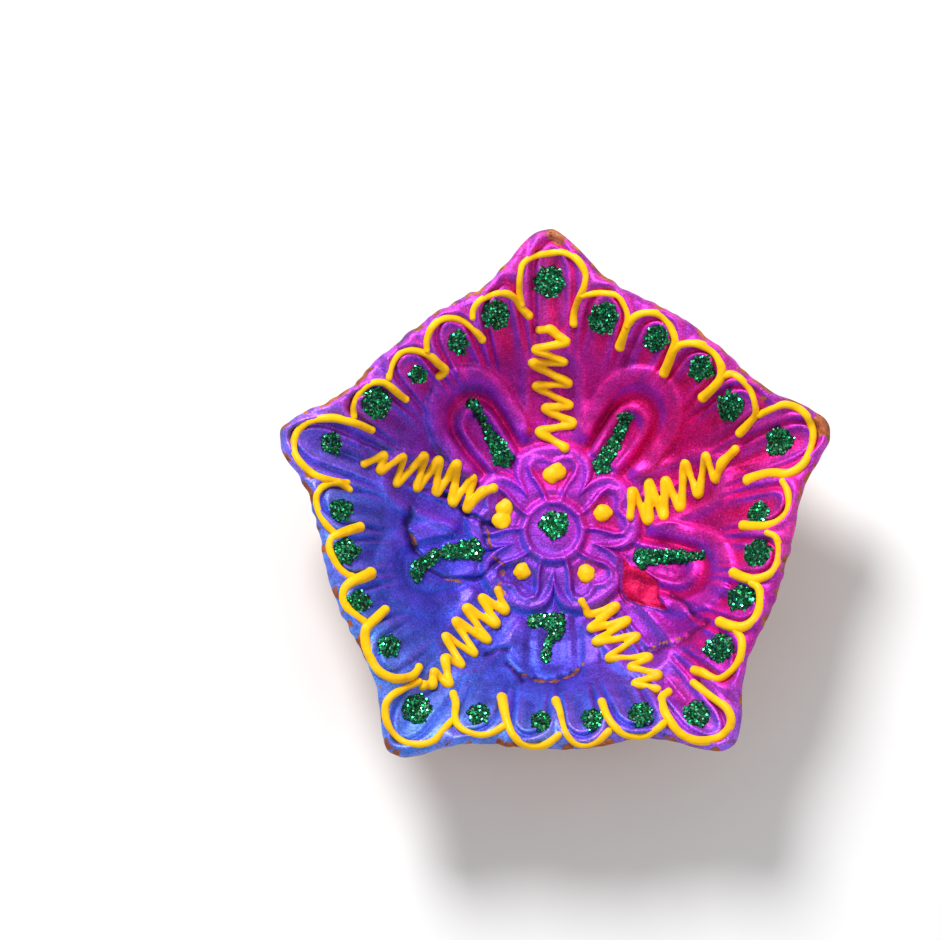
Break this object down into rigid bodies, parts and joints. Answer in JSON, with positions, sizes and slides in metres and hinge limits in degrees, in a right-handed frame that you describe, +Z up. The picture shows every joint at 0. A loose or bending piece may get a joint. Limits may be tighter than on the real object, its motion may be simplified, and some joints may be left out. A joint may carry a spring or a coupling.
{
  "type": "diya oil lamp",
  "caption": "Shallow star-shaped terracotta diya with pulled wick corners, painted pearl colours, piped yellow beads and green glitter dabs.",
  "frame": {"origin": "on the pressed flower's axis, at the flat base the lamp stands on", "axes": "+Z up, +Y towards the first pulled corner, +X to its right seen from above"},
  "size_m": [0.0616, 0.0593, 0.0177],
  "materials": {
    "painted_clay": "pearl paint over terracotta",
    "outliner_paint": "satin",
    "glitter_glue": "glitter"
  },
  "bodies": {
    "root": {"clay_body": "painted_clay", "corner_arch_1": "outliner_paint", "corner_arch_2": "outliner_paint", "corner_arch_3": "outliner_paint", "corner_arch_4": "outliner_paint", "corner_arch_5": "outliner_paint", "side_arch_1": "outliner_paint", "side_arch_2": "outliner_paint", "side_arch_3": "outliner_paint", "side_arch_4": "outliner_paint", "side_arch_5": "outliner_paint", "side_arch_6": "outliner_paint", "side_arch_7": "outliner_paint", "side_arch_8": "outliner_paint", "side_arch_9": "outliner_paint", "side_arch_10": "outliner_paint", "side_arch_11": "outliner_paint", "side_arch_12": "outliner_paint", "side_arch_13": "outliner_paint", "side_arch_14": "outliner_paint", "side_arch_15": "outliner_paint", "side_arch_16": "outliner_paint", "side_arch_17": "outliner_paint", "side_arch_18": "outliner_paint", "side_arch_19": "outliner_paint", "side_arch_20": "outliner_paint", "zigzag_1": "outliner_paint", "zigzag_2": "outliner_paint", "zigzag_3": "outliner_paint", "zigzag_4": "outliner_paint", "zigzag_5": "outliner_paint", "flower_dot_1": "outliner_paint", "flower_dot_2": "outliner_paint", "flower_dot_3": "outliner_paint", "flower_dot_4": "outliner_paint", "flower_dot_5": "outliner_paint", "corner_glitter_1": "glitter_glue", "corner_glitter_2": "glitter_glue", "corner_glitter_3": "glitter_glue", "corner_glitter_4": "glitter_glue", "corner_glitter_5": "glitter_glue", "side_glitter_1": "glitter_glue", "side_glitter_2": "glitter_glue", "side_glitter_3": "glitter_glue", "side_glitter_4": "glitter_glue", "side_glitter_5": "glitter_glue", "petal_glitter_1": "glitter_glue", "petal_glitter_2": "glitter_glue", "petal_glitter_3": "glitter_glue", "petal_glitter_4": "glitter_glue", "petal_glitter_5": "glitter_glue", "centre_glitter": "glitter_glue"}
  },
  "joints": []
}
